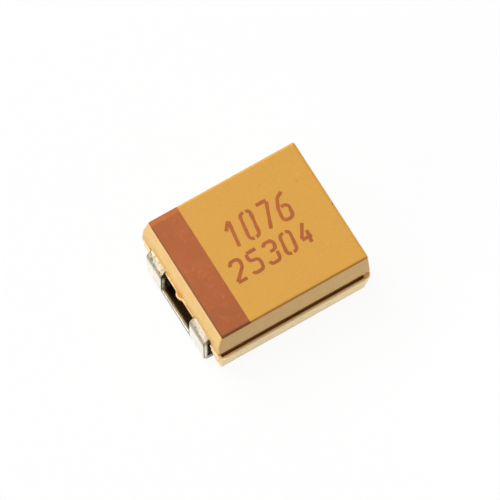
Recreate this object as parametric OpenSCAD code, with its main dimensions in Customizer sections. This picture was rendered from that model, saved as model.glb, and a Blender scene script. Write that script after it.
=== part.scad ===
// Moulded surface-mount tantalum capacitor, 3528 case size.
// X runs along the length with the anode (band) end at -X, Z points up,
// and z = 0 is the board under the two solder feet. Millimetres.

/* [Case] */
// Height of the flat top above the board
case_h = 1.55; // [1.5:0.01:1.9]
// Length of the upper half at its lower edge
case_l = 3.265; // [3.2:0.005:3.35]
// Width of the upper half at its lower edge
case_w = 2.79; // [2.6:0.01:2.8]
// Height of the parting plane above the board, where the terminals leave the case
parting_z = 0.96; // [0.9:0.01:1.0]
// Height of the underside above the board
standoff = 0.08; // [0.05:0.01:0.12]
// Radius of the upright corners at the top and the underside
corner_r = 0.04; // [0.035:0.005:0.06]
// Radius of the edges round the top and the underside
edge_r = 0.025; // [0.01:0.005:0.03]

/* [Draft of the upper half] */
// How far the anode end of the top is set in from the lower edge, by its bevel
top_inset_anode = 0.097; // [0.05:0.001:0.15]
// How far the cathode end of the top is set in from the lower edge
top_inset_cathode = 0.021; // [0.015:0.001:0.1]
// How far each long side of the top is set in from the lower edge
top_inset_side = 0.056; // [0.03:0.001:0.1]
// Height of the steeper land at the foot of each wall
land_h = 0.27; // [0.1:0.01:0.35]
// How far the land leans in at each end
land_inset_end = 0.01; // [0:0.005:0.03]
// How far the land leans in along each long side
land_inset_side = 0.02; // [0:0.005:0.03]

/* [Lower half] */
// How far the rim stands out past the upper half at each end
rim_out_end = 0.015; // [0:0.005:0.04]
// How far the rim stands out past the upper half along each long side
rim_out_side = 0.09; // [0.06:0.005:0.1]
// Drop from the parting plane to the top of the rim
rim_drop = 0.15; // [0.1:0.01:0.17]
// Radius of the rim's upright corners
rim_r = 0.17; // [0.1:0.01:0.2]
// Thickness of the rim's lip outside the parting groove
rim_lip = 0.07; // [0.05:0.005:0.08]
// Bevel along the rim's outer edge
rim_bevel = 0.02; // [0.01:0.005:0.025]
// How far the underside is set in from the rim at each end
base_inset_end = 0.084; // [0.04:0.002:0.12]
// How far the underside is set in from the rim along each long side
base_inset_side = 0.142; // [0.08:0.002:0.18]

/* [Parting groove] */
// How far the core between the halves is set in at each end
neck_inset = 0.01; // [0.005:0.005:0.02]
// Depth of the groove in under the upper half
groove_in = 0.05; // [0.02:0.005:0.08]
// Height of the groove, from its floor to the parting plane
groove_h = 0.36; // [0.3:0.01:0.4]
// How far the gutter stops short of the case's anode end
groove_stop_anode = 0.055; // [0.05:0.005:0.15]
// How far the gutter stops short of the case's cathode end
groove_stop_cathode = 0.13; // [0.05:0.005:0.15]

/* [Polarity band] */
// Length of the band along the top, from the anode end
band_l = 0.62; // [0.3:0.01:0.9]
// Thickness of the ink
band_t = 0.015; // [0.01:0.005:0.03]

/* [Terminals] */
// Length over both terminals
terminal_span = 3.5; // [3.46:0.01:3.6]
// Width of the terminals
terminal_w = 2.06; // [1.9:0.01:2.2]
// Thickness of the lead frame
sheet_t = 0.1; // [0.08:0.01:0.12]
// Inner radius of the bends
bend_r = 0.05; // [0.03:0.01:0.08]
// Length of each solder foot, from the outer face
foot_l = 0.8; // [0.6:0.05:1.0]
// Width of the notch in the anode terminal
notch_w = 1.04; // [0.6:0.02:1.2]
// Height of the bar left under the notch
notch_z = 0.25; // [0.2:0.01:0.4]
// Radius of the notch's lower corners
notch_r = 0.08; // [0.03:0.01:0.12]

/* [Recesses round the terminals] */
// Gap between a terminal's upright and the case behind it
upright_gap = 0.13; // [0.08:0.01:0.15]
// Gap beside a terminal
side_gap = 0.06; // [0.03:0.01:0.1]
// Gap over a foot
foot_gap = 0.02; // [0.01:0.005:0.04]
// Gap past the inner end of a foot
foot_end_gap = 0.04; // [0.02:0.01:0.08]

/* [Moulding gate] */
// Width of the broken-off gate at the anode end
gate_w = 0.26; // [0.15:0.01:0.4]
// How far the gate stands out past the web between the terminal's legs
gate_out = 0.05; // [0.02:0.005:0.08]

/* [Pellet] */
// Length of the sintered pellet
pellet_l = 1.7; // [1.4:0.05:1.75]
// Width of the sintered pellet
pellet_w = 1.94; // [1.6:0.02:2.0]
// Height of the sintered pellet
pellet_h = 0.82; // [0.6:0.02:0.84]
// Radius of the pellet's long edges
pellet_r = 0.1; // [0.05:0.01:0.15]
// Height of the pellet's axis above the board
pellet_z = 0.88; // [0.86:0.01:0.9]
// Distance from the middle of the case to the pellet's anode face
pellet_back = 0.72; // [0.68:0.01:0.74]
// Thickness of the manganese dioxide coat
oxide_t = 0.03; // [0.02:0.005:0.04]
// Thickness of the carbon coat
carbon_t = 0.015; // [0.01:0.005:0.02]
// Thickness of the silver coat
silver_t = 0.025; // [0.015:0.005:0.03]
// Distance from the pellet's anode face to the start of the carbon coat
carbon_start = 0.1; // [0.05:0.01:0.2]
// Distance from the start of the carbon coat to the start of the silver coat
silver_start = 0.05; // [0.02:0.01:0.1]

/* [Anode wire] */
// Diameter of the tantalum wire
wire_d = 0.24; // [0.2:0.01:0.26]
// Length of the wire inside the pellet
wire_in = 0.95; // [0.6:0.05:1.2]
// How deep the weld flattens the wire
weld_t = 0.02; // [0.01:0.005:0.03]
// Gap between the wire's end and the step in the tongue
wire_gap = 0.02; // [0.01:0.01:0.05]
// Diameter of the insulating washer
washer_d = 0.6; // [0.4:0.02:0.7]
// Thickness of the insulating washer
washer_t = 0.08; // [0.05:0.01:0.1]

/* [Lead frame inside the case] */
// How far the cathode terminal keeps its full width inside the case
shoulder_l = 0.07; // [0.04:0.01:0.1]
// Length of the cross-piece that joins the anode terminal's legs
cross_l = 0.1; // [0.08:0.01:0.12]
// Width of the tongue that the wire is welded to
tongue_w = 0.7; // [0.4:0.05:0.9]
// Length of the tongue's flat end
tongue_l = 0.25; // [0.2:0.01:0.28]
// Gap between the tongue's end and the insulating washer
tongue_gap = 0.15; // [0.1:0.01:0.18]
// Width of the cathode paddle under the pellet
paddle_w = 1.4; // [1.0:0.05:1.7]
// How far the paddle reaches under the pellet
paddle_l = 1.2; // [0.8:0.05:1.4]
// Thickness of the conductive adhesive
glue_t = 0.03; // [0.02:0.005:0.04]
// Height of the adhesive up the pellet's cathode end
glue_h = 0.36; // [0.3:0.01:0.38]
// Distance that the adhesive keeps from the edges of the paddle
glue_inset = 0.1; // [0.05:0.01:0.2]

/* [Hidden] */

$fn = 48;
corner_steps = 8;                               // facets round each upright corner of the case
far = 3;                                        // reach of a cut that runs out of the part

// Case
top_l = case_l - top_inset_anode - top_inset_cathode;
top_x = (top_inset_anode - top_inset_cathode) / 2;   // middle of the top, off centre by the bevel
top_w = case_w - 2 * top_inset_side;
rim_l = case_l + 2 * rim_out_end;
rim_w = case_w + 2 * rim_out_side;
base_l = rim_l - 2 * base_inset_end;
base_w = rim_w - 2 * base_inset_side;
rim_z = parting_z - rim_drop;
groove_z = parting_z - groove_h;
neck_l = case_l - 2 * neck_inset;
neck_w = case_w - 2 * groove_in;
edge_bevel = edge_r * (1 - cos(45));            // where a rounded edge is at 45 degrees

band_x = top_x - top_l / 2 + band_l;            // inner edge of the polarity band

// Terminals, measured at the +X end
outer_x = terminal_span / 2;                    // outer face of the upright
inner_x = outer_x - sheet_t;                    // inner face of the upright
bend_x = inner_x - bend_r;                      // centre of the outer bends
foot_x = outer_x - foot_l;                      // inner end of the foot
recess_x = inner_x - upright_gap;               // case wall behind the upright
sheet_z = parting_z - sheet_t;                  // underside of the sheet where it leaves the case
shoulder_x = recess_x - shoulder_l;             // end of the full width inside the case
recess_w = terminal_w + 2 * side_gap;

// Pellet and its coats
pellet_x0 = -pellet_back;                       // anode face
pellet_x1 = pellet_x0 + pellet_l;               // cathode face
stack_t = oxide_t + carbon_t + silver_t;        // all three coats

// Anode terminal inside the case, measured from the middle towards -X
tongue_z = pellet_z - wire_d / 2 + weld_t;      // top of the tongue
tongue_x = pellet_back + washer_t + tongue_gap; // inner end of the tongue
step_x = tongue_x + tongue_l;                   // foot of the 45 degree step
cross_x = step_x + parting_z - tongue_z;        // inner edge of the cross-piece
notch_x = cross_x + cross_l;                    // inner edge of the notch

// Cathode terminal inside the case
riser_x = pellet_x1 + stack_t + glue_t;         // face of the riser beside the pellet
paddle_z = pellet_z - pellet_h / 2 - stack_t - glue_t;   // top of the paddle
paddle_x = riser_x - paddle_l;                  // inner end of the paddle

// ---- Shapes shared by several pieces ----

// Rounded rectangle as a ring of points: [length, width, height above the board, radius, middle along X]
function ring(s) = [
    for (c = [[1, 1, 0], [-1, 1, 90], [-1, -1, 180], [1, -1, 270]], k = [0 : corner_steps])
        let (a = c[2] + 90 * k / corner_steps)
            [s[4] + c[0] * (s[0] / 2 - s[3]) + s[3] * cos(a), c[1] * (s[1] / 2 - s[3]) + s[3] * sin(a), s[2]]
];

// Solid through such rings, given from the lowest to the highest
module loft(sections) {
    n = 4 * (corner_steps + 1);
    last = n * (len(sections) - 1);
    polyhedron(
        points = [for (s = sections) each ring(s)],
        faces = [
            [for (k = [0 : n - 1]) k],
            for (m = [0 : n : last - n], k = [0 : n - 1])
                let (next = (k + 1) % n) each [[m + k, m + n + next, m + next], [m + k, m + n + k, m + n + next]],
            [for (k = [n - 1 : -1 : 0]) last + k]
        ]
    );
}

// Block from x0 to x1, centred on Y, between the heights z0 and z1
module block(x0, x1, w, z0, z1) {
    translate([x0, -w / 2, z0]) cube([x1 - x0, w, z1 - z0]);
}

// A flat shape drawn in X and Z, made w wide along Y
module across(w) {
    rotate([90, 0, 0]) linear_extrude(height = w, center = true) children();
}

// A straight run of the sheet's profile
module run(x0, x1, z0, z1) {
    translate([x0, z0]) square([x1 - x0, z1 - z0]);
}

// A quarter bend of the sheet's profile; side_x and side_z say which quarter
module bend(x, z, side_x, side_z) {
    size = bend_r + sheet_t;
    translate([x, z]) intersection() {
        difference() {
            circle(r = size);
            circle(r = bend_r);
        }
        translate([side_x < 0 ? -size : 0, side_z < 0 ? -size : 0]) square(size);
    }
}

// Solder foot, upright and the run into the case, at the +X end
module outer_profile(inner_end) {
    run(foot_x, bend_x, 0, sheet_t);
    bend(bend_x, sheet_t + bend_r, 1, -1);
    run(inner_x, outer_x, sheet_t + bend_r, sheet_z - bend_r);
    bend(bend_x, sheet_z - bend_r, 1, 1);
    run(inner_end, bend_x, sheet_z, parting_z);
}

// Bar along X with the pellet's section, grown by a coat's thickness
module pellet_bar(grow, x0, x1) {
    w = pellet_w / 2 + grow;
    h = pellet_h / 2 + grow;
    r = pellet_r + grow;
    translate([x0, 0, pellet_z]) rotate([90, 0, 90]) linear_extrude(height = x1 - x0) {
        translate([-w, r - h]) square([2 * w, 2 * (h - r)]);
        translate([r - w, -h]) square([2 * (w - r), 2 * h]);
        for (i = [-1, 1], j = [-1, 1]) translate([i * (w - r), j * (h - r)]) circle(r = r);
    }
}

// Cylinder on the pellet's axis
module axis_rod(d, x0, x1) {
    translate([x0, 0, pellet_z]) rotate([0, 90, 0]) cylinder(h = x1 - x0, d = d);
}

// ---- Solid shapes of the pieces ----

// A ring set in all round by the given distance, and moved to the given height
function inset(s, by, z) = [s[0] - 2 * by, s[1] - 2 * by, z, s[3] - by, s[4]];

module upper_half() {
    top = [top_l, top_w, case_h, corner_r, top_x];
    loft([
        [case_l, case_w, parting_z, corner_r, 0],
        [case_l - 2 * land_inset_end, case_w - 2 * land_inset_side, parting_z + land_h, corner_r, 0],
        inset(top, 0, case_h - edge_r),
        inset(top, edge_bevel, case_h - edge_bevel),
        inset(top, edge_r, case_h)
    ]);
}

module lower_half() {
    base = [base_l, base_w, standoff, corner_r, 0];
    rim = [rim_l, rim_w, rim_z, rim_r, 0];
    difference() {
        loft([
            inset(base, edge_r, standoff),
            inset(base, edge_bevel, standoff + edge_bevel),
            inset(base, 0, standoff + edge_r),
            inset(rim, 0, rim_z - rim_bevel),
            inset(rim, rim_bevel, rim_z)
        ]);
        groove();
        mirror([0, 1, 0]) groove();
    }
}

// Core that joins the halves between the two parting grooves
module neck() {
    block(-neck_l / 2, neck_l / 2, neck_w, groove_z - sheet_t, parting_z + sheet_t);
}

// Gutter inside the rim's lip along one long side, with its outer wall leaning out
module groove() {
    neck_y = neck_w / 2;
    lip_y = rim_w / 2 - rim_lip;
    start = groove_stop_anode - case_l / 2;
    translate([start, 0, 0]) rotate([90, 0, 90])
        linear_extrude(height = case_l / 2 - groove_stop_cathode - start)
        polygon([[neck_y - groove_in, groove_z], [case_w / 2, groove_z], [lip_y, rim_z],
                 [lip_y, far], [neck_y - groove_in, far]]);
}

// Pocket behind a terminal's upright and over its foot, at the +X end
module terminal_recess() {
    block(recess_x, far, recess_w, -far, parting_z);
    block(foot_x - foot_end_gap, far, recess_w, -far, sheet_t + foot_gap);
}

// Resin between the legs of the anode terminal, with the broken-off gate in its middle
module gate_web() {
    block(-rim_l / 2, -notch_x, notch_w, sheet_z, parting_z);
    translate([gate_w / 2 - rim_l / 2 - gate_out, 0, sheet_z])
        cylinder(h = sheet_t, d = gate_w);
}

module anode_form() {
    mirror([1, 0, 0]) {
        difference() {
            across(terminal_w) outer_profile(cross_x);
            notch();
        }
        across(tongue_w) {
            run(cross_x, notch_x, sheet_z, parting_z);
            polygon([[cross_x, parting_z], [cross_x, sheet_z],
                     [step_x, tongue_z - sheet_t], [step_x, tongue_z]]);
            run(tongue_x, step_x, tongue_z - sheet_t, tongue_z);
        }
    }
}

// Opening between the anode terminal's legs, with rounded lower corners
module notch() {
    block(notch_x, far, notch_w, notch_z + notch_r, case_h);
    block(notch_x, far, notch_w - 2 * notch_r, notch_z, case_h);
    for (j = [-1, 1])
        translate([notch_x, j * (notch_w / 2 - notch_r), notch_z + notch_r])
            rotate([0, 90, 0]) cylinder(h = far, r = notch_r);
}

module cathode_form() {
    across(terminal_w) outer_profile(shoulder_x);
    across(paddle_w) {
        run(riser_x + sheet_t + bend_r, recess_x, sheet_z, parting_z);
        bend(riser_x + sheet_t + bend_r, sheet_z - bend_r, -1, 1);
        run(riser_x, riser_x + sheet_t, paddle_z + bend_r, sheet_z - bend_r);
        bend(riser_x - bend_r, paddle_z + bend_r, 1, -1);
        run(paddle_x, riser_x - bend_r, paddle_z - sheet_t, paddle_z);
    }
}

module wire_form() {
    axis_rod(wire_d, wire_gap - step_x, pellet_x0 + wire_in);
}

module washer_form() {
    axis_rod(washer_d, pellet_x0 - washer_t, pellet_x0);
}

module oxide_form() {
    pellet_bar(oxide_t, pellet_x0 - oxide_t, pellet_x1 + oxide_t);
}

module carbon_form() {
    pellet_bar(oxide_t + carbon_t, pellet_x0 + carbon_start, pellet_x1 + oxide_t + carbon_t);
}

module silver_form() {
    pellet_bar(stack_t, pellet_x0 + carbon_start + silver_start, pellet_x1 + stack_t);
}

module glue_form() {
    block(paddle_x + glue_inset, riser_x, paddle_w - 2 * glue_inset, paddle_z, paddle_z + glue_h);
}

module band_form() {
    intersection() {
        upper_half();
        block(-far, band_x, far, case_h - band_t, far);
    }
}

// ---- The pieces ----

module case() {
    color([0.86, 0.64, 0.31]) difference() {
        union() {
            upper_half();
            difference() {
                union() {
                    lower_half();
                    neck();
                }
                terminal_recess();
                mirror([1, 0, 0]) terminal_recess();
            }
            gate_web();
        }
        block(-far, band_x, far, case_h - band_t, far);
        anode_form();
        cathode_form();
        wire_form();
        washer_form();
        oxide_form();
        carbon_form();
        silver_form();
        glue_form();
    }
}

module polarity_band() {
    color([0.7, 0.4, 0.24]) band_form();
}

module anode_terminal() {
    color([0.82, 0.82, 0.8]) anode_form();
}

module cathode_terminal() {
    color([0.82, 0.82, 0.8]) cathode_form();
}

module anode_wire() {
    color([0.55, 0.56, 0.6]) difference() {
        wire_form();
        anode_form();
    }
}

module insulating_washer() {
    color([0.95, 0.95, 0.93]) difference() {
        washer_form();
        wire_form();
    }
}

module anode_pellet() {
    color([0.35, 0.36, 0.4]) difference() {
        pellet_bar(0, pellet_x0, pellet_x1);
        wire_form();
    }
}

module manganese_dioxide_coat() {
    color([0.16, 0.14, 0.13]) difference() {
        oxide_form();
        pellet_bar(0, pellet_x0, pellet_x1);
        washer_form();
    }
}

module carbon_coat() {
    color([0.1, 0.1, 0.11]) difference() {
        carbon_form();
        oxide_form();
    }
}

module silver_coat() {
    color([0.72, 0.72, 0.7]) difference() {
        silver_form();
        carbon_form();
    }
}

module conductive_adhesive() {
    color([0.6, 0.6, 0.58]) difference() {
        glue_form();
        silver_form();
        cathode_form();
    }
}

case();
polarity_band();
anode_terminal();
cathode_terminal();
anode_wire();
insulating_washer();
anode_pellet();
manganese_dioxide_coat();
carbon_coat();
silver_coat();
conductive_adhesive();
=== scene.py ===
"""Moulded tantalum chip capacitor: finishes, folded terminals, burnt numerals and stage."""
import math

import bmesh
import bpy
from mathutils import Matrix, Vector


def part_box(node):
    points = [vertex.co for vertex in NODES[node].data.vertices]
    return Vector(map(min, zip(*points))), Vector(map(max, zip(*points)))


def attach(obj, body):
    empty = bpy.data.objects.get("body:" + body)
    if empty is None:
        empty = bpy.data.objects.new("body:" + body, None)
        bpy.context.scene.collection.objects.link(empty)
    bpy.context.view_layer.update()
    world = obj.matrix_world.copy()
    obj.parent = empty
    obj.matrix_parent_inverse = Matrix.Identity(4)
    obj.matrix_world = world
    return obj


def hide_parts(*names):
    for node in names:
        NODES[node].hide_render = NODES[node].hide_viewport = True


bl_info = {
    "name": "Moulded chip capacitor",
    "version": (1, 0, 0),
    "blender": (4, 5, 0),
    "location": "3D View > Sidebar > Capacitor",
    "description": "Finishes, folded terminals, numerals and stage of a moulded tantalum chip capacitor",
    "category": "Object",
}

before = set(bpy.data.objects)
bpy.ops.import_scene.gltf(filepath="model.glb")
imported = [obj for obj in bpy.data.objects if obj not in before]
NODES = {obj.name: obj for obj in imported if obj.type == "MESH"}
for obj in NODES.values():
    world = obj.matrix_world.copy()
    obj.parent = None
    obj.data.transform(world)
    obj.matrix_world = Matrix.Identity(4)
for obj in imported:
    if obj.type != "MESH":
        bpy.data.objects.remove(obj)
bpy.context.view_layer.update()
MM = 0.001                                    # metres in a millimetre
ROOT = "root"
SENSOR = 36                                   # width of the camera's sensor in millimetres
FOLD_SAMPLE = 0.01                            # spacing of the fold's samples in millimetres
SMOOTH_UP_TO = math.radians(40)               # edges of the folded sheet sharper than this stay sharp
BEVEL_FROM = math.radians(50)                 # edges of the stamped blank sharper than this are rounded
BEVEL_STEPS = 2                               # facets across a rounded sheared edge
GATE_STEPS = 12                               # facets round the gate


def span_mm(node):
    """Lowest and highest corner of a node, in millimetres."""
    low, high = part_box(node)
    return Vector(low) / MM, Vector(high) / MM


CASE_HIGH = span_mm("case")[1]
BAND_LOW, BAND_HIGH = span_mm("polarity_band")
ANODE_LOW, ANODE_HIGH = span_mm("anode_terminal")
CATHODE_LOW, CATHODE_HIGH = span_mm("cathode_terminal")
PARTING = ANODE_HIGH.z                        # the upper face of the sheet lies in the parting plane


# ---------------------------------------------------------------- sizes and colours

def colour(name, text, value):
    """A colour property with an alpha channel."""
    return bpy.props.FloatVectorProperty(name=name, description=text, subtype="COLOR", size=4,
                                         min=0, max=1, default=(*value, 1))


def millimetres(name, text, value, low=0.0, high=10.0):
    """A size property in millimetres."""
    return bpy.props.FloatProperty(name=name, description=text, default=value, min=low, max=high,
                                   precision=3)


def number(name, text, value):
    """A property without a unit, nought or more."""
    return bpy.props.FloatProperty(name=name, description=text, default=value, min=0, soft_max=10)


class CaseShape(bpy.types.PropertyGroup):
    """Sizes of the moulded case that its finish follows."""
    land: millimetres("Land", "Height of the steep land over the parting plane", 0.27)
    rim_drop: millimetres("Rim drop", "Depth of the rim's top under the parting plane", 0.15)
    ledge_up: millimetres("Ledge up", "How far the rim's paler top reaches over the rim's height", 0.02)
    ledge_down: millimetres("Ledge down", "How far the rim's paler top reaches down its bevel", 0.025)
    rim_out: millimetres("Rim out", "How far the rim stands out at the ends", 0.015)
    top_inset: millimetres("Top inset", "How far the top's cathode edge lies in", 0.021)
    band_margin: millimetres("Band margin", "Distance of the band from the edges of the top", 0.006)
    arris: millimetres("Arris", "Width of the softened edge round the top", 0.06)
    # The rim's brim carries a painted highlight.
    brim_end: millimetres("Brim at the ends", "Width of the rim's rubbed brim at the ends", 0.0125)
    brim_side: millimetres("Brim at the sides", "Width of the rim's rubbed brim along the sides", 0.045)
    # Widths of the painted highlights at the back and cathode end of the top, and of the painted shade at
    # its front.
    far_edge: millimetres("Far edge", "Width of the bright edge at the back of the top", 0.03)
    end_edge: millimetres("End edge", "Width of the bright edge at the cathode end of the top", 0.02)
    front_edge: millimetres("Front edge", "Width of the dark edge at the front of the top", 0.01)
    gate: millimetres("Gate", "Width of the broken-off gate", 0.26)
    gate_out: millimetres("Gate reach", "How far the gate stands out past the web", 0.05)
    web: millimetres("Web", "Width of the web between the anode terminal's legs", 0.98)
    flash: millimetres("Flash", "Thickness of the flash along the web's edge", 0.022)
    void: millimetres("Void", "Width of the one open void in the top", 0.02)
    void_x: millimetres("Void x", "Place of the void along the case", 1.59, low=-2)
    void_y: millimetres("Void y", "Place of the void across the case", -0.0975, low=-2)


class CaseLook(bpy.types.PropertyGroup):
    """Colours and grain of the moulded case."""
    resin: colour("Resin", "Colour of the moulded epoxy", (0.675, 0.33, 0.036))
    patches: colour("Patches", "Colour of the resin's soft patches", (0.71, 0.34, 0.032))
    walls: colour("Walls", "Colour of the duller bloom on the side walls", (0.6, 0.375, 0.13))
    olive: colour("Olive bloom", "Colour of the bloom's patches", (0.47, 0.36, 0.14))
    # Painted light: the lower half made paler, as if lit from the white floor below.
    lower_floor_light: colour("Chalk", "Colour of the chalky lower half", (1.0, 0.76, 0.34))
    # Painted highlight on the upper end faces.
    end_highlight: colour("Cream", "Colour of the rubbed upper end faces", (0.80, 0.52, 0.17))
    # Painted highlight along the top of the end faces.
    end_top_highlight: colour("Warm edge", "Colour of the end faces along the top", (0.9, 0.5, 0.2))
    land: colour("Land", "Colour of the land on the end faces", (0.8, 0.43, 0.08))
    ledge: colour("Ledge", "Colour of the rim's top", (0.85, 0.6, 0.33))
    # Painted highlight on the rim's outermost edge.
    painted_highlight: colour("Rubbed brim", "Colour of the rubbed brim of the rim", (1.0, 0.84, 0.5))
    # Painted highlight on the far edges of the top.
    bright: colour("Bright edge", "Colour of the rubbed far edges of the top", (0.93, 0.5, 0.06))
    # Painted shade along the top's front edge.
    dark: colour("Dark edge", "Colour of the top along its front edge", (0.4, 0.15, 0.015))
    nub: colour("Nub", "Colour of the broken gate", (0.72, 0.26, 0.045))
    pale_specks: colour("Pale specks", "Colour of the pale filler specks", (0.86, 0.56, 0.2))
    dark_specks: colour("Dark specks", "Colour of the dark filler specks", (0.42, 0.18, 0.04))
    # Painted shade where the resin is closed in.
    crevice_shade: colour("Crevices", "Colour of the resin where it is closed in", (0.5, 0.21, 0.025))
    void: colour("Void", "Colour of the open void", (0.12, 0.09, 0.06))
    grain: millimetres("Grain", "Size of the filler grain that shows in the resin", 0.05)
    mottle: millimetres("Mottle", "Size of the soft patches in the resin's colour", 0.7)
    gloss: number("Gloss", "Strength of the resin's reflection", 0.45)


class BandLook(bpy.types.PropertyGroup):
    """Colours and grain of what is burnt into the resin."""
    burnt: colour("Burnt resin", "Colour of the band and of the numerals", (0.40, 0.095, 0.012))
    # Dark outline round the band, with painted shade along its front edge.
    flare: colour("Flare", "Colour of the band's redder streaks", (0.6, 0.14, 0.02))
    dark_outline_and_front_shade: colour("Scorched edge", "Colour of the band along its edges", (0.15, 0.045, 0.01))
    # Painted highlight at the band's back end.
    far: colour("Far end colour", "Colour of the band at the back of the top", (0.58, 0.15, 0.025))
    specks: colour("Specks", "Colour of the filler specks in the band", (0.6, 0.22, 0.06))
    # Widths of the band's dark outline and of its painted shade at the front.
    dark_outline: millimetres("Scorch", "Width of the scorched edge", 0.12)
    front_shade_width: millimetres("Front scorch", "Width of the darker scorch at the front", 0.02)
    # Length of the painted highlight at the band's back end.
    far_end: millimetres("Far end", "Length of the brighter end at the back", 0.08)
    fade: millimetres("Fade", "Length over which the band grows darker towards the front", 1.6)
    fade_end: millimetres("Fade end", "Length of the darkest stretch at the front", 0.14)
    grain: millimetres("Grain", "Size of the grain in the burnt resin", 0.04)
    mottle: millimetres("Mottle", "Size of the soft patches in the burnt resin", 0.4)
    gloss: number("Gloss", "Strength of the burnt resin's reflection", 0.42)


class TinLook(bpy.types.PropertyGroup):
    """Colours and grain of the tinned sheet."""
    dull: colour("Dull tin", "Colour of the tin between its crystals", (0.74, 0.7, 0.59))
    clean: colour("Clean tin", "Colour of the tin's crystals", (0.98, 0.95, 0.86))
    pits: colour("Pits", "Colour of the pits in the tin", (0.2, 0.17, 0.11))
    # Partly tarnish, partly painted shade on the upper part of the sheet.
    bend: colour("Bend", "Colour of the stretched tin at the upper bends", (0.36, 0.28, 0.18))
    cracks: colour("Cracks", "Colour of the cracks in the stretched tin", (0.09, 0.09, 0.06))
    stain: colour("Stain", "Colour of the stains on the stretched tin", (0.3, 0.31, 0.25))
    sheared: colour("Sheared edge", "Colour of the sheet's edges along their two rims", (0.09, 0.09, 0.05))
    # Painted shade inside the window.
    window_shade: colour("Hollow", "Colour of the sheet inside the window", (0.045, 0.025, 0.01))
    # Painted shade on the sheet under the window.
    bridge: colour("Bridge", "Colour of the sheet under the window", (0.3, 0.27, 0.19))
    # Painted shade where the sheet is closed in.
    crevice_shade: colour("Crevices", "Colour of the sheet where it is closed in", (0.026, 0.015, 0.006))
    grain: millimetres("Grain", "Size of the tin's crystals", 0.06)
    mottle: millimetres("Mottle", "Size of the soft patches in the tin", 0.3)
    rim: millimetres("Rim", "Width of the dark rims along the sheared edge", 0.025)


class NumeralSizes(bpy.types.PropertyGroup):
    """The two rows of plain numerals on the top."""
    first_row: bpy.props.StringProperty(name="First row", description="Digits and spaces", default="1076")
    second_row: bpy.props.StringProperty(name="Second row", description="Digits and spaces",
                                         default="25304")
    first_height: millimetres("First row height", "Height of the upper row's digits", 0.54)
    second_height: millimetres("Second row height", "Height of the lower row's digits", 0.42)
    first_gap: millimetres("First row gap", "Distance of the upper row from the band", 0.47)
    second_gap: millimetres("Second row gap", "Distance of the lower row from the band", 0.19)
    first_base: millimetres("First row base", "Place of the upper row's foot across the top", 0.06, low=-2)
    second_base: millimetres("Second row base", "Place of the lower row's foot across the top", -0.55,
                             low=-2)
    digit_width: millimetres("Digit width", "Width of a digit between its stroke's middles", 0.21)
    pitch: millimetres("Pitch", "Step from one digit to the next", 0.36)
    stroke: millimetres("Stroke", "Width of a burnt stroke", 0.068)
    film: millimetres("Film", "Height by which the burnt resin stands up", 0.003)
    turn: millimetres("Turn", "Radius of the turns in a stroke", 0.08)
    unevenness: number("Unevenness", "How much the width of a stroke varies", 0.7)
    lean: bpy.props.FloatProperty(name="Lean", description="Slant of the digits", subtype="ANGLE",
                                  default=math.radians(8))


class TerminalShape(bpy.types.PropertyGroup):
    """Stamped and folded lead frame."""
    sheet: millimetres("Sheet", "Thickness of the lead frame", 0.1)
    inner_bend: millimetres("Inner bend", "Inside radius of the outer bends", 0.05)
    bend_steps: bpy.props.IntProperty(name="Bend steps", description="Facets round each bend",
                                      default=10, min=2, max=32)
    foot: millimetres("Foot", "Length of the foot under the case", 0.8)
    notch: millimetres("Notch", "Width of the window in the anode terminal", 1.04)
    notch_base: millimetres("Notch base", "Height of the window's lower edge", 0.25)
    notch_corner: millimetres("Notch corner", "Radius of the window's corners", 0.08)
    tongue: millimetres("Tongue", "Width of the tongue under the wire", 0.7)
    tongue_top: millimetres("Tongue top", "Height of the weld under the wire", 0.78)
    tongue_end: millimetres("Tongue end", "Distance of the tongue's end from the middle", 0.95)
    tongue_length: millimetres("Tongue length", "Length of the flat of the tongue", 0.25)
    crossbar: millimetres("Crossbar", "Length of the bar behind the window", 0.1)
    shoulder: millimetres("Shoulder", "Distance from the middle at which the full width starts", 1.45)
    riser: millimetres("Riser", "Distance of the riser's inner face from the middle", 1.08)
    paddle: millimetres("Paddle", "Width of the paddle under the pellet", 1.4)
    paddle_top: millimetres("Paddle top", "Height of the paddle's upper face", 0.37)
    sheared: millimetres("Sheared edge", "Rounding of the sheared edges", 0.008)


class StageSetup(bpy.types.PropertyGroup):
    """Camera, lamps and floor."""
    azimuth: bpy.props.FloatProperty(name="Azimuth", description="Camera's turn about the part",
                                     subtype="ANGLE", default=math.radians(-30.9))
    elevation: bpy.props.FloatProperty(name="Elevation", description="Camera's height above the horizon",
                                       subtype="ANGLE", default=math.radians(68.5))
    lens: bpy.props.FloatProperty(name="Lens", description="Focal length in millimetres", default=600)
    view_width: millimetres("View width", "Width that the picture takes in", 9.225)
    aim_right: bpy.props.FloatProperty(name="Aim right", description="View centre, to the right, in mm",
                                       default=-0.113)
    aim_up: bpy.props.FloatProperty(name="Aim up", description="View centre, upwards, in mm",
                                    default=0.394)
    floor_size: millimetres("Floor", "Width of the floor", 400, high=1000)
    floor_colour: colour("Floor colour", "Colour of the floor", (0.93, 0.93, 0.92))
    floor_glow: number("Floor glow", "Share of plain white where the floor is seen", 0.92)
    sky: number("Sky", "Strength of the soft surround", 0.25)
    key: number("Key", "Brightness of the key softbox", 4.4)
    side: number("Side", "Brightness of the low softbox on the left", 3.0)
    front: number("Front", "Brightness of the small low softbox in front", 2.4)
    overhead: number("Overhead", "Brightness of the overhead softbox", 0.5)


GROUPS = {"capacitor_shape": CaseShape, "capacitor_case": CaseLook, "capacitor_band": BandLook,
          "capacitor_numerals": NumeralSizes, "capacitor_terminals": TerminalShape,
          "capacitor_tin": TinLook, "capacitor_stage": StageSetup}


# ---------------------------------------------------------------- helpers for node trees

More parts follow.
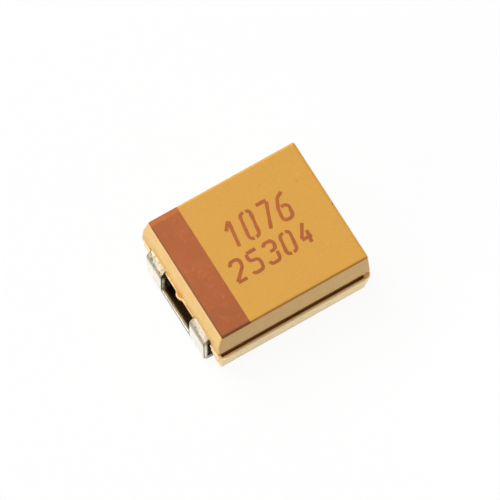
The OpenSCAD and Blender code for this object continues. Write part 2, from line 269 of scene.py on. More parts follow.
def add(tree, kind, inputs=None, **settings):
    """A new node, with its settings, and its inputs set or linked."""
    node = tree.nodes.new(kind)
    for key, value in settings.items():
        setattr(node, key, value)
    for key, value in (inputs or {}).items():
        feed(tree, node.inputs[key], value)
    return node


def feed(tree, socket, value):
    """Links a socket, or sets its value."""
    if isinstance(value, bpy.types.NodeSocket):
        tree.links.new(value, socket)
    else:
        socket.default_value = value


def maths(tree, operation, *values, clamp=False):
    """Result of a Math node."""
    node = tree.nodes.new("ShaderNodeMath")
    node.operation, node.use_clamp = operation, clamp
    for socket, value in zip(node.inputs, values):
        feed(tree, socket, value)
    return node.outputs[0]


def remap(tree, value, low, high, to_low=0.0, to_high=1.0):
    """A value mapped smoothly from one range to another."""
    node = add(tree, "ShaderNodeMapRange", interpolation_type="SMOOTHSTEP")
    for index, item in enumerate((value, low, high, to_low, to_high)):
        feed(tree, node.inputs[index], item)
    return node.outputs[0]


def blend_colours(tree, factor, first, second, mode="MIX"):
    """Result of a colour Mix node."""
    node = add(tree, "ShaderNodeMix", data_type="RGBA", blend_type=mode)
    for index, item in ((0, factor), (6, first), (7, second)):
        feed(tree, node.inputs[index], item)
    return node.outputs[2]


def new_group(name, inputs, outputs):
    """An empty shader group with its sockets. Returns tree, input node and output node."""
    tree = bpy.data.node_groups.new(name, "ShaderNodeTree")
    for direction, sockets in (("INPUT", inputs), ("OUTPUT", outputs)):
        for label, kind, default in sockets:
            socket = tree.interface.new_socket(label, in_out=direction, socket_type=f"NodeSocket{kind}")
            if default is not None:
                socket.default_value = default
    return tree, tree.nodes.new("NodeGroupInput"), tree.nodes.new("NodeGroupOutput")


def grain_group():
    """Filler grain: fine noise over soft patches, as a tint value and a height."""
    tree, start, end = new_group(
        "Filler grain",
        [("Vector", "Vector", None), ("Grain", "Float", 0.00005), ("Mottle", "Float", 0.0007),
         ("Shift", "Float", 0.0)],
        [("Tint", "Float", None), ("Height", "Float", None), ("Patches", "Float", None)])
    moved = add(tree, "ShaderNodeVectorMath", {0: start.outputs["Vector"]}, operation="ADD")
    offset = add(tree, "ShaderNodeCombineXYZ", {i: start.outputs["Shift"] for i in range(3)})
    feed(tree, moved.inputs[1], offset.outputs[0])
    fine = add(tree, "ShaderNodeTexNoise", {
        "Vector": moved.outputs[0], "Scale": maths(tree, "DIVIDE", 1.0, start.outputs["Grain"]),
        "Detail": 3.0, "Roughness": 0.6})
    soft = add(tree, "ShaderNodeTexNoise", {
        "Vector": moved.outputs[0], "Scale": maths(tree, "DIVIDE", 1.0, start.outputs["Mottle"]),
        "Detail": 2.0, "Roughness": 0.5})
    feed(tree, end.inputs["Tint"], remap(tree, fine.outputs[0], 0.3, 0.7))
    feed(tree, end.inputs["Height"], fine.outputs[0])
    feed(tree, end.inputs["Patches"], remap(tree, soft.outputs[0], 0.35, 0.65))
    return tree


def speck_group():
    """Scattered specks: a mask of small uneven dots."""
    tree, start, end = new_group(
        "Specks",
        [("Vector", "Vector", None), ("Spacing", "Float", 0.0002), ("Size", "Float", 0.2),
         ("Share", "Float", 0.3)],
        [("Mask", "Float", None)])
    cells = add(tree, "ShaderNodeTexVoronoi", {
        "Vector": start.outputs["Vector"],
        "Scale": maths(tree, "DIVIDE", 1.0, start.outputs["Spacing"])})
    chosen = maths(tree, "LESS_THAN", add(tree, "ShaderNodeSeparateColor",
                                          {0: cells.outputs["Color"]}).outputs[0],
                   start.outputs["Share"])
    dot = remap(tree, cells.outputs["Distance"], maths(tree, "MULTIPLY", start.outputs["Size"], 0.5),
                start.outputs["Size"], 1.0, 0.0)
    feed(tree, end.inputs["Mask"], maths(tree, "MULTIPLY", dot, chosen))
    return tree


def crown_group():
    """Softened rim of a flat rectangular face: a height that falls away towards its edges."""
    tree, start, end = new_group(
        "Softened rim",
        [("Vector", "Vector", None), ("Low", "Vector", None), ("High", "Vector", None),
         ("Width", "Float", 0.00008)],
        [("Height", "Float", None)])
    reaches = []
    for corner, first, second in (("High", "High", "Vector"), ("Low", "Vector", "Low")):
        gap = add(tree, "ShaderNodeVectorMath", {0: start.outputs[first], 1: start.outputs[second]},
                  operation="SUBTRACT")
        apart = add(tree, "ShaderNodeSeparateXYZ", {0: gap.outputs[0]})
        reaches += [apart.outputs[0], apart.outputs[1]]
    nearest = reaches[0]
    for reach in reaches[1:]:
        nearest = maths(tree, "MINIMUM", nearest, reach)
    share = maths(tree, "DIVIDE", nearest, start.outputs["Width"], clamp=True)
    rise = maths(tree, "MULTIPLY", share, maths(tree, "SUBTRACT", 2.0, share))
    feed(tree, end.inputs["Height"], rise)
    return tree


class Finish:
    """A material under construction: its tree, its Principled shader, its coordinates and its tone."""

    def __init__(self, name, **plain):
        self.material = bpy.data.materials.new(name)
        self.material.use_nodes = True
        self.tree = self.material.node_tree
        self.tree.nodes.clear()
        self.shader = add(self.tree, "ShaderNodeBsdfPrincipled")
        add(self.tree, "ShaderNodeOutputMaterial", {"Surface": self.shader.outputs[0]})
        self.place = add(self.tree, "ShaderNodeTexCoord").outputs["Object"]
        self.tone = None
        self.set(**plain)

    def set(self, **inputs):
        """Sets or links inputs of the shader, with underscores for spaces."""
        for key, value in inputs.items():
            feed(self.tree, self.shader.inputs[key.replace("_", " ")], value)

    def group(self, name, **inputs):
        """Places a node group, fed with the Object coordinates. Returns its outputs."""
        node = add(self.tree, "ShaderNodeGroup", node_tree=bpy.data.node_groups[name])
        feed(self.tree, node.inputs["Vector"], self.place)
        for key, value in inputs.items():
            feed(self.tree, node.inputs[key], value)
        return node.outputs

    def grain(self, size, patches, shift=0.0):
        """Grain and soft patches of the given sizes in millimetres: Tint, Height and Patches."""
        return self.group("Filler grain", Grain=size * MM, Mottle=patches * MM, Shift=shift)

    def specks(self, spacing, size, amount):
        """Mask of specks at a spacing in millimetres; size is a part of it, amount a part of one."""
        return self.group("Specks", Spacing=spacing * MM, Size=size, Share=amount)[0]

    def rim(self, corners, width):
        """Height of a softened rim round a face, from its corners in millimetres."""
        low, high = corners
        return self.group("Softened rim", Low=tuple(low * MM), High=tuple(high * MM),
                          Width=width * MM)[0]

    def both(self, *masks):
        """Where all the masks are."""
        result = masks[0]
        for mask in masks[1:]:
            result = maths(self.tree, "MULTIPLY", result, mask)
        return result

    def either(self, first, second):
        """Where one mask or the other is."""
        return maths(self.tree, "MAXIMUM", first, second)

    def outside(self, mask):
        """Where a mask isn't."""
        return maths(self.tree, "SUBTRACT", 1.0, mask)

    def steepness(self, axis, low, high):
        """One on faces square to an axis (0 to 2), nought on faces along it, with soft limits."""
        normal = add(self.tree, "ShaderNodeNewGeometry").outputs["True Normal"]
        turned = add(self.tree, "ShaderNodeSeparateXYZ", {0: normal}).outputs[axis]
        return remap(self.tree, maths(self.tree, "ABSOLUTE", turned), low, high)

    def inside(self, soft=0.01, **ranges):
        """One where coordinates lie in ranges of millimetres, with soft ends; None leaves one open."""
        spot = add(self.tree, "ShaderNodeSeparateXYZ", {0: self.place})
        sides = []
        for axis, ends in ranges.items():
            for end, out in zip(ends, (-soft, soft)):
                if end is not None:
                    sides.append(remap(self.tree, spot.outputs[axis.upper()], (end + out) * MM, end * MM))
        return self.both(*sides)

    def ground(self, factor, dull, clean):
        """Starts the tone, between two colours."""
        self.tone = blend_colours(self.tree, factor, dull, clean)

    def lay(self, mask, top, share=1.0):
        """Lays a colour over the tone so far, by a share of a mask."""
        self.tone = blend_colours(self.tree, self.both(mask, share), self.tone, top)

    def paint_crevice_shade(self, reach, shadow, share=1.0):
        """Lays painted shade, a colour where the surface is closed in, within a reach in millimetres."""
        open_sky = add(self.tree, "ShaderNodeAmbientOcclusion", {"Distance": reach * MM}, samples=16)
        self.lay(remap(self.tree, open_sky.outputs["AO"], 0.15, 0.75, 1.0, 0.0), shadow, share)

    def bump(self, *layers):
        """Feeds the shader's normal from (height, depth in millimetres) layers, broadest first."""
        normal = None
        for height, depth in layers:
            node = add(self.tree, "ShaderNodeBump", {"Height": height, "Distance": depth * MM})
            if normal:
                feed(self.tree, node.inputs["Normal"], normal)
            normal = node.outputs[0]
        self.set(Normal=normal)


def paint(node, material):
    """Gives a packed node a finished material."""
    for slot in NODES[node].material_slots:
        slot.material = material


def make_object(name, mesh):
    """A new object at the origin."""
    piece = bpy.data.objects.new(name, mesh)
    bpy.context.scene.collection.objects.link(piece)
    return piece


# ---------------------------------------------------------------- finishes

def shade(rgba, factor):
    """A colour made lighter or darker."""
    return (*(min(1.0, channel * factor) for channel in rgba[:3]), 1.0)


def flat_top(shape):
    """Lowest and highest corner of the flat top of the case, in millimetres."""
    low = Vector((BAND_LOW.x - shape.band_margin, BAND_LOW.y - shape.band_margin, 0))
    high = Vector((CASE_HIGH.x - shape.rim_out - shape.top_inset, BAND_HIGH.y + shape.band_margin, 0))
    return low, high


def lay_bloom(f, look):
    """Dull bloom with olive patches on the walls. Returns the mask of the bloom."""
    walls = f.outside(f.steepness(2, 0.35, 0.75))
    bloom = f.grain(0.09, 0.22, shift=0.03)
    cloud = f.both(bloom["Patches"], remap(f.tree, bloom["Tint"], 0, 1, 0.6, 1.0))
    dusty = f.both(walls, remap(f.tree, cloud, 0, 1, 0.62, 0.85))
    f.lay(dusty, look.walls)
    mossy = f.grain(0.08, 0.16, shift=0.05)
    f.lay(f.both(dusty, mossy["Patches"], mossy["Tint"]), look.olive, share=0.55)
    return dusty


def lay_faces(f, shape, look, dusty):
    """Tones of the end faces with painted highlights, painted floor light on the lower half, and the tone
    of the rim's top.
    """
    rim_z, land_z = PARTING - shape.rim_drop, PARTING + shape.land
    ends = f.steepness(0, 0.6, 0.8)
    # Painted highlight on the upper end faces.
    f.lay(f.both(dusty, ends, f.inside(soft=0.06, z=(land_z - 0.01, None))), look.end_highlight)
    # Painted highlight along the top of the end faces.
    f.lay(f.both(ends, f.inside(soft=0.05, z=(CASE_HIGH.z - shape.arris, None))), look.end_top_highlight, share=0.5)
    # Painted floor light on the lower half.
    f.lay(f.both(dusty, f.inside(z=(None, rim_z - 0.01))), look.lower_floor_light)
    f.lay(f.both(ends, f.inside(soft=0.03, z=(PARTING - 0.06, land_z - 0.03))), look.land, share=0.55)
    f.lay(rim_ledge(f, shape), look.ledge, share=0.6)


def rim_ledge(f, shape):
    """Mask of the rim's top and of its bevel."""
    rim_z = PARTING - shape.rim_drop
    return f.inside(z=(rim_z - shape.ledge_down, rim_z + shape.ledge_up))


def rim_brim(f, shape):
    """Mask of the rim's outermost edge."""
    x, y = CASE_HIGH.x - shape.brim_end, CASE_HIGH.y - shape.brim_side
    return f.both(rim_ledge(f, shape), f.outside(f.inside(x=(-x, x), y=(-y, y))))


def lay_top_edges(f, shape, look, dark_outline_and_front_shade):
    """Painted highlight on the far edges, painted shade along the front edge, and the broken gate. Returns
    the mask of the front edge.
    """
    low, high = flat_top(shape)
    # Painted highlight on the far and cathode-end edges of the top.
    upper = f.inside(soft=0.03, z=(CASE_HIGH.z - 0.03, None))
    back = f.inside(soft=0.03, y=(high.y - shape.far_edge, None))
    end = f.both(f.inside(soft=0.03, x=(high.x - shape.end_edge, None)), 0.6)
    f.lay(f.both(upper, f.either(back, end)), look.bright, share=0.7)
    # Painted shade along the top's front edge.
    front = f.both(upper, f.inside(soft=0.03, y=(None, low.y + shape.front_edge)))
    beside_band = f.inside(x=(None, BAND_HIGH.x))
    f.lay(front, blend_colours(f.tree, beside_band, look.dark, dark_outline_and_front_shade), share=0.85)
    f.lay(f.inside(x=(None, -CASE_HIGH.x - shape.gate_out / 4)), look.nub)
    return front


def epoxy(shape, look, dark_outline_and_front_shade):
    """Moulded epoxy: grain, soft patches, bloom and specks, with painted highlights and painted floor
    light, and painted shade along the front edge and in the crevices.
    """
    f = Finish("Moulded epoxy", Specular_IOR_Level=look.gloss)
    grain = f.grain(look.grain, look.mottle)
    f.ground(grain["Tint"], shade(look.resin, 0.97), shade(look.resin, 1.04))
    f.lay(grain["Patches"], look.patches, share=0.6)
    lay_faces(f, shape, look, lay_bloom(f, look))
    front = lay_top_edges(f, shape, look, dark_outline_and_front_shade)
    f.lay(f.specks(0.22, size=0.16, amount=0.12), look.pale_specks, share=0.12)
    f.lay(f.specks(0.31, size=0.1, amount=0.14), look.dark_specks, share=0.3)
    # Painted shade in the crevices.
    f.paint_crevice_shade(0.14, look.crevice_shade, share=0.8)
    # Painted highlight on the rim's outermost edge, laid over the painted shade.
    f.lay(rim_brim(f, shape), look.painted_highlight)
    half = shape.void / 2
    void = f.inside(soft=0.008, x=(shape.void_x - half, shape.void_x + half),
                    y=(shape.void_y - half, shape.void_y + half), z=(PARTING, None))
    f.lay(void, look.void, share=0.8)
    skin = remap(f.tree, grain["Tint"], 0.0, 1.0, 0.34, 0.46)
    f.set(Base_Color=f.tone, Roughness=f.either(skin, front))
    f.bump((f.rim(flat_top(shape), shape.arris), 0.018), (grain["Height"], 0.004))
    return f.material


def burnt_resin(shape, look):
    """Resin darkened by a laser: raster grain, redder streaks, darker towards the front, a dark outline
    with painted shade along its front edge, a painted highlight at its back, and a duller skin.
    """
    f = Finish("Burnt resin", Specular_IOR_Level=look.gloss)
    low, high = flat_top(shape)
    grain = f.grain(look.grain, look.mottle, shift=0.01)
    f.ground(grain["Tint"], shade(look.burnt, 0.92), shade(look.burnt, 1.08))
    f.lay(grain["Patches"], shade(look.burnt, 1.14), share=0.5)
    streaks = f.grain(0.11, 0.5, shift=0.04)
    flare = remap(f.tree, f.both(streaks["Tint"], streaks["Patches"]), 0.35, 0.9, 0.0, 0.45)
    f.lay(flare, look.flare)
    f.lay(f.inside(soft=look.fade, y=(None, low.y + look.fade_end)), shade(look.burnt, 0.7), share=0.4)
    # Dark outline round the band, with painted shade along its front edge.
    edge = remap(f.tree, f.rim((low, high), look.dark_outline), 0.1, 0.9, 0.85, 0.0)
    front = f.both(f.inside(soft=0.05, y=(None, low.y + look.front_shade_width)), 0.85)
    dark_outline_and_front_shade = f.either(edge, front)
    f.lay(dark_outline_and_front_shade, look.dark_outline_and_front_shade)
    # Painted highlight at the band's back end.
    f.lay(f.inside(soft=0.06, y=(high.y - look.far_end, None)), look.far, share=0.7)
    f.lay(f.specks(0.16, size=0.2, amount=0.2), look.specks, share=0.3)
    skin = remap(f.tree, grain["Tint"], 0.0, 1.0, 0.45, 0.6)
    f.set(Base_Color=f.tone, Roughness=f.either(skin, dark_outline_and_front_shade))
    f.bump((f.rim((low, high), shape.arris), 0.014), (grain["Height"], 0.005))
    return f.material


def tinned_metal(shape, look):
    """Matt tin over the sheet: crystals, pits, and cracks and stains where it is bent, with painted shade
    on the upper part, in the window, on the bridge and in crevices.
    """
    f = Finish("Tinned sheet", Metallic=1.0)
    grain = f.grain(look.grain, look.mottle, shift=0.02)
    pits = f.specks(0.09, size=0.32, amount=0.3)
    f.ground(grain["Tint"], look.dull, look.clean)
    f.lay(pits, look.pits, share=0.8)
    # Partly tarnish, partly painted shade on the upper part of the sheet.
    bent = f.inside(soft=0.2, z=(PARTING - shape.sheet - 0.02, None))
    f.lay(bent, look.bend, share=0.85)
    f.lay(f.both(bent, f.specks(0.07, size=0.5, amount=0.5), grain["Tint"]), look.cracks)
    f.lay(f.both(bent, f.grain(0.1, 0.16, shift=0.07)["Patches"]), look.stain, share=0.4)
    lay_sheared_edges(f, shape, look)
    # Painted shade in the crevices.
    f.paint_crevice_shade(0.35, look.crevice_shade)
    f.set(Base_Color=f.tone, Roughness=remap(f.tree, grain["Patches"], 0.0, 1.0, 0.42, 0.55))
    f.bump((maths(f.tree, "SUBTRACT", grain["Height"], f.both(pits, 0.6)), 0.012))
    return f.material


def lay_sheared_edges(f, shape, look):
    """Dark rims along the uprights' sheared edges, and painted shade inside the window and on the bridge
    under it.
    """
    outer, inner = CATHODE_HIGH.x - look.rim, CATHODE_HIGH.x - shape.sheet + look.rim
    sheared = f.steepness(1, 0.4, 0.7)
    middle = f.either(f.inside(soft=0.006, x=(-outer, -inner)), f.inside(soft=0.006, x=(inner, outer)))
    upright = f.inside(z=(shape.sheet + 0.02, PARTING - 0.08))
    f.lay(f.both(sheared, f.outside(middle), upright), look.sheared)
    # Painted shade inside the window, except on its side faces part way up.
    side = shape.notch / 2 + 0.01
    window = f.inside(x=(-outer, -shape.shoulder), y=(-side, side), z=(shape.sheet / 2, None))
    lit = f.both(sheared, f.inside(soft=0.04, z=(shape.notch_base + 0.05, PARTING - 0.26)))
    turned = maths(f.tree, "SUBTRACT", f.outside(f.steepness(0, 0.4, 0.7)), lit, clamp=True)
    f.lay(f.both(window, turned), look.window_shade)
    # Painted shade on the bridge under the window.
    bridge = f.inside(x=(None, shape.sheet / 2 - CATHODE_HIGH.x), y=(-side, side),
                      z=(None, shape.notch_base + 0.02))
    f.lay(bridge, look.bridge, share=0.7)


def powder(name, base, lift, roughness, metallic, grain_mm, depth_mm):
    """A dull inner coat or body, with the grain of its powder."""
    f = Finish(name, Roughness=roughness, Metallic=metallic)
    grain = f.grain(grain_mm, grain_mm * 8)
    pores = f.specks(grain_mm * 2.2, size=0.3, amount=0.35)
    f.ground(grain["Tint"], (*base, 1), (*lift, 1))
    f.lay(pores, shade(base, 0.4), share=0.6)
    f.set(Base_Color=f.tone)
    f.bump((maths(f.tree, "SUBTRACT", grain["Height"], f.both(pores, 0.4)), depth_mm))
    return f.material


# name, dark and light colour, roughness, metallic, grain and relief in millimetres
FLASH_FINISH = ("Flash resin", (0.9, 0.66, 0.34), (1.0, 0.82, 0.5), 0.45, 0.0, 0.03, 0.002)
INNER_FINISHES = {
    "anode_wire": ("Drawn tantalum", (0.2, 0.2, 0.22), (0.34, 0.34, 0.36), 0.35, 1.0, 0.02, 0.002),
    "insulating_washer": ("Fluoropolymer", (0.8, 0.8, 0.77), (0.9, 0.9, 0.88), 0.45, 0.0, 0.05, 0.002),
    "anode_pellet": ("Sintered tantalum", (0.07, 0.07, 0.08), (0.14, 0.14, 0.15), 0.7, 0.6, 0.03, 0.006),
    "manganese_dioxide_coat": ("Manganese dioxide", (0.02, 0.018, 0.018), (0.06, 0.055, 0.05), 0.8, 0.0,
                               0.025, 0.004),
    "carbon_coat": ("Graphite", (0.02, 0.02, 0.022), (0.05, 0.05, 0.052), 0.55, 0.0, 0.02, 0.002),
    "silver_coat": ("Silver paint", (0.5, 0.49, 0.46), (0.72, 0.7, 0.66), 0.45, 0.9, 0.03, 0.003),
    "conductive_adhesive": ("Silver adhesive", (0.42, 0.41, 0.39), (0.66, 0.64, 0.6), 0.5, 0.8, 0.04,
                            0.005),
}


# ---------------------------------------------------------------- geometry trees

def geometry_tree(name, inputs):
    """A geometry tree with a geometry input and output and named inputs."""
    tree = bpy.data.node_groups.new(name, "GeometryNodeTree")
    tree.interface.new_socket("Geometry", in_out="INPUT", socket_type="NodeSocketGeometry")
    for label, kind in inputs:
        tree.interface.new_socket(label, in_out="INPUT", socket_type=f"NodeSocket{kind}")
    tree.interface.new_socket("Geometry", in_out="OUTPUT", socket_type="NodeSocketGeometry")
    return tree, tree.nodes.new("NodeGroupInput"), tree.nodes.new("NodeGroupOutput")


def close_tree(tree, end, geometry, material):
    """Ends a tree in Realize Instances and Set Material."""
    real = add(tree, "GeometryNodeRealizeInstances", {0: geometry})
    painted = add(tree, "GeometryNodeSetMaterial", {"Geometry": real.outputs[0], "Material": material})
    feed(tree, end.inputs[0], painted.outputs[0])
    return tree


def press_brake():
    """Folds a flat blank, whose X is the length along the sheet, round a path in the XZ plane."""
    tree, start, end = geometry_tree("Fold along path", [
        ("Path", "Object"), ("Bend radius", "Float"), ("Bend steps", "Int"), ("Sample", "Float"),
        ("Material", "Material")])
    path = add(tree, "GeometryNodeObjectInfo", {"Object": start.outputs["Path"]})
    bends = add(tree, "GeometryNodeFilletCurve", {"Curve": path.outputs["Geometry"],
                                                  "Radius": start.outputs["Bend radius"],
                                                  "Count": start.outputs["Bend steps"]}, mode="POLY")
    fine = add(tree, "GeometryNodeResampleCurve", {"Curve": bends.outputs[0],
                                                   "Length": start.outputs["Sample"]}, mode="LENGTH")
    here = add(tree, "ShaderNodeSeparateXYZ", {0: add(tree, "GeometryNodeInputPosition").outputs[0]})
    spot = add(tree, "GeometryNodeSampleCurve", {"Curves": fine.outputs[0], "Length": here.outputs[0]},
               mode="LENGTH")
    across = add(tree, "ShaderNodeVectorMath", {0: spot.outputs["Tangent"], 1: (0, 1, 0)},
                 operation="CROSS_PRODUCT")
    unit = add(tree, "ShaderNodeVectorMath", {0: across.outputs[0]}, operation="NORMALIZE")
    lift = add(tree, "ShaderNodeVectorMath", {0: unit.outputs[0], "Scale": here.outputs[2]},
               operation="SCALE")
    side = add(tree, "ShaderNodeCombineXYZ", {1: here.outputs[1]})
    moved = add(tree, "ShaderNodeVectorMath", {0: spot.outputs["Position"], 1: lift.outputs[0]},
                operation="ADD")
    placed = add(tree, "ShaderNodeVectorMath", {0: moved.outputs[0], 1: side.outputs[0]},
                 operation="ADD")
    folded = add(tree, "GeometryNodeSetPosition", {"Geometry": start.outputs[0],
                                                   "Position": placed.outputs[0]})
    return close_tree(tree, end, folded.outputs[0], start.outputs["Material"])


def stroke_tree():
    """Sweeps a flat bar along each stroke, with rounded turns and an uneven width."""
    tree, start, end = geometry_tree("Uneven strokes", [
        ("Stroke", "Float"), ("Film", "Float"), ("Turn radius", "Float"), ("Turn steps", "Int"),
        ("Sample", "Float"), ("Unevenness", "Float"), ("Material", "Material")])
    turns = add(tree, "GeometryNodeFilletCurve", {"Curve": start.outputs[0],
                                                  "Radius": start.outputs["Turn radius"],
                                                  "Count": start.outputs["Turn steps"],
                                                  "Limit Radius": True}, mode="POLY")
    fine = add(tree, "GeometryNodeResampleCurve", {"Curve": turns.outputs[0],
                                                   "Length": start.outputs["Sample"]}, mode="LENGTH")
    waver = add(tree, "ShaderNodeTexNoise", {"Scale": 9.0, "Detail": 2.0})
    change = maths(tree, "MULTIPLY", maths(tree, "SUBTRACT", waver.outputs[0], 0.5),
                   start.outputs["Unevenness"])
    varied = add(tree, "GeometryNodeSetCurveRadius", {"Curve": fine.outputs[0],
                                                      "Radius": maths(tree, "ADD", 1.0, change)})
    upright = add(tree, "GeometryNodeSetCurveNormal", {"Curve": varied.outputs[0]}, mode="Z_UP")
    bar = add(tree, "GeometryNodeCurvePrimitiveQuadrilateral",
              {"Width": start.outputs["Stroke"], "Height": start.outputs["Film"]})
    width = add(tree, "GeometryNodeInputRadius")
    swept = add(tree, "GeometryNodeCurveToMesh", {"Curve": upright.outputs[0],
                                                  "Profile Curve": bar.outputs[0],
                                                  "Scale": width.outputs[0],
                                                  "Fill Caps": True})
    return close_tree(tree, end, swept.outputs[0], start.outputs["Material"])


def run_tree(source, tree, values, bevel=0.0):
    """Runs a geometry tree on an object and returns the plain mesh; the source is removed."""
    modifier = source.modifiers.new("Tree", "NODES")
    modifier.node_group = tree
    for item in tree.interface.items_tree:
        if item.in_out == "INPUT" and item.name in values:
            modifier[item.identifier] = values[item.name]
    if bevel:
        edge = source.modifiers.new("Sheared edge", "BEVEL")
        edge.width, edge.segments, edge.limit_method = bevel, BEVEL_STEPS, "ANGLE"
        edge.angle_limit = BEVEL_FROM
    bpy.context.view_layer.update()
    shown = source.evaluated_get(bpy.context.evaluated_depsgraph_get())
    mesh = bpy.data.meshes.new_from_object(shown)
    bpy.data.objects.remove(source)
    return mesh


def poly_curve(name, strokes):
    """A curve object of straight strokes, each a list of (x, y, z) points."""
    data = bpy.data.curves.new(name, "CURVE")
    data.dimensions = "3D"
    for points in strokes:
        spline = data.splines.new("POLY")
        spline.points.add(len(points) - 1)
        for spot, point in zip(spline.points, points):
            spot.co = (*point, 1)
    return make_object(name, data)


def sweep_strokes(name, strokes, slot, **values):
    """A piece of flat bars that follow strokes in millimetres."""
    source = poly_curve(name + "_path", strokes)
    settings = {key.replace("_", " "): value for key, value in values.items()}
    mesh = run_tree(source, bpy.data.node_groups["Uneven strokes"], settings)
    mesh.transform(Matrix.Scale(MM, 4))
    mesh.shade_flat()
    piece = make_object(name, mesh)
    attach(piece, ROOT)


# ---------------------------------------------------------------- folded terminals

def bend_stations(path, radius, steps):
    """Lengths along a path with rounded corners at which its bends are cut into facets."""
    stations, length = [], 0.0
    corners = [Vector(p) for p in path]
    cut = 0.0
    for before, corner, after in zip(corners, corners[1:], corners[2:]):
        turn = (corner - before).angle(after - corner)
        tangent = radius * math.tan(turn / 2)
        length += (corner - before).length - cut - tangent
        stations += [length + radius * turn * i / steps for i in range(steps + 1)]
        length += radius * turn
        cut = tangent
    return stations, length + (corners[-1] - corners[-2]).length - cut


def rounded_window(low, high, half, radius, steps=6):
    """Outline of a window in the flat sheet, rounded at its far end only."""
    outline = [(low, -half), (low, half)]
    for centre_y, first in ((half - radius, 90), (radius - half, 0)):
        for i in range(steps + 1):
            angle = math.radians(first - 90 * i / steps)
            outline.append((high - radius + radius * math.cos(angle), centre_y + radius * math.sin(angle)))
    return outline


def stamped_blank(name, outlines, thickness, stations):
    """Flat plate from an outline and its windows, cut across wherever it will bend."""
    bm = bmesh.new()
    for outline in outlines:
        corners = [bm.verts.new((x, y, -thickness / 2)) for x, y in outline]
        for first, second in zip(corners, corners[1:] + corners[:1]):
            bm.edges.new((first, second))
    bmesh.ops.triangle_fill(bm, use_beauty=True, edges=bm.edges[:])
    bmesh.ops.dissolve_limit(bm, angle_limit=0.01, verts=bm.verts[:], edges=bm.edges[:])
    lifted = bmesh.ops.extrude_face_region(bm, geom=bm.faces[:])
    raised = [item for item in lifted["geom"] if isinstance(item, bmesh.types.BMVert)]
    bmesh.ops.translate(bm, verts=raised, vec=(0, 0, thickness))
    for station in stations:
        bmesh.ops.bisect_plane(bm, geom=bm.verts[:] + bm.edges[:] + bm.faces[:], dist=1e-5,
                               plane_co=(station, 0, 0), plane_no=(1, 0, 0))
    bmesh.ops.recalc_face_normals(bm, faces=bm.faces[:])
    mesh = bpy.data.meshes.new(name)
    bm.to_mesh(mesh)
    bm.free()
    return make_object(name, mesh)


def fold_terminal(name, node, path, outlines, shape, material):
    """One terminal: a stamped blank folded round its path, standing for its packed node."""
    radius = shape.inner_bend + shape.sheet / 2
    stations, _ = bend_stations(path, radius, shape.bend_steps)
    blank = stamped_blank(name + "_blank", outlines, shape.sheet, stations)
    route = poly_curve(name + "_path", [[(x, 0, z) for x, z in path]])
    mesh = run_tree(blank, bpy.data.node_groups["Fold along path"], {
        "Path": route, "Bend radius": radius, "Bend steps": shape.bend_steps, "Sample": FOLD_SAMPLE,
        "Material": material}, bevel=shape.sheared)
    bpy.data.objects.remove(route)
    mesh.transform(Matrix.Scale(MM, 4))
    mesh.shade_smooth()
    mesh.set_sharp_from_angle(angle=SMOOTH_UP_TO)
    piece = make_object(name, mesh)
    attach(piece, ROOT)
    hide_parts(node)


def strip(steps):
    """Outline of a strip from (length, half width) steps, symmetrical about its middle."""
    return [(s, -h) for s, h in steps] + [(s, h) for s, h in reversed(steps)]


def outer_path(shape, side, low, high):
    """Corner points of the mid-sheet from inside the case to the end of the foot."""
    half = shape.sheet / 2
    reach = (high.x if side > 0 else -low.x) - half
    level = high.z - half
    return reach, level, [(side * reach, level), (side * reach, low.z + half),
                          (side * (reach + half - shape.foot), low.z + half)]


# ---------------------------------------------------------------- numerals

DIGITS = {
    "0": [[(0.42, 1), (0, 1), (0, 0), (0.42, 0)], [(0.62, 0), (1, 0), (1, 1), (0.62, 1)]],
    "1": [[(0.05, 0.7), (0.55, 1)], [(0.6, 0.97), (0.6, 0)]],
    "2": [[(0, 0.8), (0, 1), (1, 1), (1, 0.58), (0.08, 0.04)], [(0.1, 0), (1, 0)]],
    "3": [[(0, 0.86), (0, 1), (1, 1), (1, 0.54), (0.4, 0.54)], [(1, 0.42), (1, 0), (0, 0), (0, 0.16)]],
    "4": [[(0.62, 1), (0.02, 0.32)], [(0.02, 0.28), (1, 0.28)], [(0.74, 0.6), (0.74, 0)]],
    "5": [[(1, 1), (0.06, 1)], [(0.02, 0.96), (0, 0.58), (1, 0.58), (1, 0), (0, 0), (0, 0.12)]],
    "6": [[(0.86, 1), (0.3, 0.86), (0, 0.5), (0, 0), (1, 0), (1, 0.52), (0.3, 0.52)]],
    "7": [[(0, 1), (1, 1)], [(1, 0.94), (0.4, 0)]],
    "8": [[(0.4, 1), (0, 1), (0, 0.56), (1, 0.56), (1, 1), (0.6, 1)],
          [(0, 0.42), (0, 0), (1, 0), (1, 0.42)]],
    "9": [[(0.7, 0.48), (0, 0.48), (0, 1), (1, 1), (1, 0.5), (0.7, 0.14), (0.14, 0)]],
}


def row_strokes(text, left, base, height, sizes, top):
    """Strokes of one row of digits, as lists of points in millimetres."""
    slant = math.tan(sizes.lean)
    strokes = []
    for index, character in enumerate(text):
        for points in DIGITS.get(character, []):
            strokes.append([(left + index * sizes.pitch + u * sizes.digit_width + v * height * slant,
                             base + v * height, top) for u, v in points])
    return strokes


# ---------------------------------------------------------------- operators

class CAPACITOR_OT_node_groups(bpy.types.Operator):
    """Build the shader groups and geometry trees that the pieces share"""
    bl_idname = "capacitor.node_groups"
    bl_label = "Build shared node groups"

    def execute(self, context):
        grain_group()
        speck_group()
        crown_group()
        press_brake()
        stroke_tree()
        return {"FINISHED"}


class CAPACITOR_OT_case(bpy.types.Operator):
    """Finish the moulded case and the polarity band"""
    bl_idname = "capacitor.case"
    bl_label = "Finish case and band"

    def execute(self, context):
        shape, band = context.scene.capacitor_shape, context.scene.capacitor_band
        paint("case", epoxy(shape, context.scene.capacitor_case, band.dark_outline_and_front_shade))
        paint("polarity_band", burnt_resin(shape, band))
        return {"FINISHED"}


